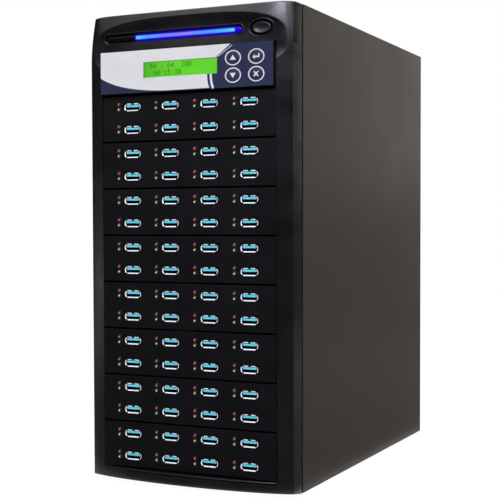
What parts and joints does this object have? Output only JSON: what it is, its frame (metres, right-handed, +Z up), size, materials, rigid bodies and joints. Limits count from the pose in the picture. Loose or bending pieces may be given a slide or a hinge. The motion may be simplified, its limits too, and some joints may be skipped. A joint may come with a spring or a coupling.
{
  "type": "usb flash drive duplicator",
  "caption": "Tower that copies flash drives: bowed black front with bays of USB sockets under a lit control panel, sheet metal case behind.",
  "frame": {"origin": "on the floor, below the middle of the tower's width and depth", "axes": "+X to the right of someone who faces the front, +Y from front to back, +Z up"},
  "size_m": [0.2036, 0.3816, 0.429],
  "materials": {
    "bezel_plastic": "black, satin with a sheen",
    "light_guide": "clear, lit blue",
    "button_plastic": "black, polished",
    "circuit_board": "green lacquer",
    "printed_sheet": "white and navy print, clear over the display",
    "display_glass": "lit green",
    "key_plastic": "navy, smooth",
    "faceplate_plastic": "black, fine grain",
    "socket_metal": "bright nickel",
    "bare_steel": "zinc coated",
    "chassis_enamel": "black, satin",
    "cover_enamel": "dark warm grey, satin",
    "foot_rubber": "matt",
    "screw_metal": "black, satin",
    "supply_steel": "zinc coated",
    "fan_plastic": "black",
    "inlet_plastic": "black",
    "switch_plastic": "black"
  },
  "bodies": {
    "tower": {"front_bezel": "bezel_plastic", "light_bar": "light_guide", "power_switch_board": "circuit_board", "control_faceplate": "faceplate_plastic", "panel_overlay": "printed_sheet", "display_module": "display_glass", "key_board": "circuit_board", "module_1_faceplate": "faceplate_plastic", "module_1_board": "socket_metal", "module_1_tray": "bare_steel", "module_2_faceplate": "faceplate_plastic", "module_2_board": "socket_metal", "module_2_tray": "bare_steel", "module_3_faceplate": "faceplate_plastic", "module_3_board": "socket_metal", "module_3_tray": "bare_steel", "module_4_faceplate": "faceplate_plastic", "module_4_board": "socket_metal", "module_4_tray": "bare_steel", "module_5_faceplate": "faceplate_plastic", "module_5_board": "socket_metal", "module_5_tray": "bare_steel", "module_6_faceplate": "faceplate_plastic", "module_6_board": "socket_metal", "module_6_tray": "bare_steel", "module_7_faceplate": "faceplate_plastic", "module_7_board": "socket_metal", "module_7_tray": "bare_steel", "module_8_faceplate": "faceplate_plastic", "module_8_board": "socket_metal", "module_8_tray": "bare_steel", "controller_tray": "bare_steel", "controller_board": "circuit_board", "drive_cage_left": "bare_steel", "drive_cage_right": "bare_steel", "chassis_front": "chassis_enamel", "base_pan": "chassis_enamel", "rear_panel": "chassis_enamel", "left_side_cover": "cover_enamel", "right_side_cover": "cover_enamel", "top_cover": "cover_enamel", "foot_front_left": "foot_rubber", "foot_front_right": "foot_rubber", "foot_rear_left": "foot_rubber", "foot_rear_right": "foot_rubber", "cover_screw_1": "screw_metal", "cover_screw_2": "screw_metal", "cover_screw_3": "screw_metal", "cover_screw_4": "screw_metal", "rear_fan_frame": "fan_plastic", "power_supply_case": "supply_steel", "mains_inlet": "inlet_plastic"},
    "power_button": {"power_button": "button_plastic"},
    "up_key": {"up_key": "key_plastic"},
    "down_key": {"down_key": "key_plastic"},
    "enter_key": {"enter_key": "key_plastic"},
    "escape_key": {"escape_key": "key_plastic"},
    "rear_fan_rotor": {"rear_fan_rotor": "fan_plastic"},
    "power_supply_rotor": {"power_supply_rotor": "fan_plastic"},
    "mains_switch": {"mains_switch": "switch_plastic"}
  },
  "joints": [
    {"name": "power_button_press", "type": "slide", "parent": "tower", "child": "power_button", "axis": [0, 1, 0], "range_m": [0, 0.002], "stiffness_N_per_m": 400},
    {"name": "up_key_press", "type": "slide", "parent": "tower", "child": "up_key", "axis": [0, 1, 0], "range_m": [0, 0.0006], "stiffness_N_per_m": 1500},
    {"name": "down_key_press", "type": "slide", "parent": "tower", "child": "down_key", "axis": [0, 1, 0], "range_m": [0, 0.0006], "stiffness_N_per_m": 1500},
    {"name": "enter_key_press", "type": "slide", "parent": "tower", "child": "enter_key", "axis": [0, 1, 0], "range_m": [0, 0.0006], "stiffness_N_per_m": 1500},
    {"name": "escape_key_press", "type": "slide", "parent": "tower", "child": "escape_key", "axis": [0, 1, 0], "range_m": [0, 0.0006], "stiffness_N_per_m": 1500},
    {"name": "rear_fan_spin", "type": "hinge", "parent": "tower", "child": "rear_fan_rotor", "pos_m": [0, 0.1684, 0.12], "axis": [0, 1, 0], "continuous": true},
    {"name": "power_supply_fan_spin", "type": "hinge", "parent": "tower", "child": "power_supply_rotor", "pos_m": [-0.029, 0.1674, 0.373], "axis": [0, 1, 0], "continuous": true},
    {"name": "mains_switch_rock", "type": "hinge", "parent": "tower", "child": "mains_switch", "pos_m": [0.048, 0.1821, 0.3576], "axis": [1, 0, 0], "range_deg": [0, 16]}
  ]
}
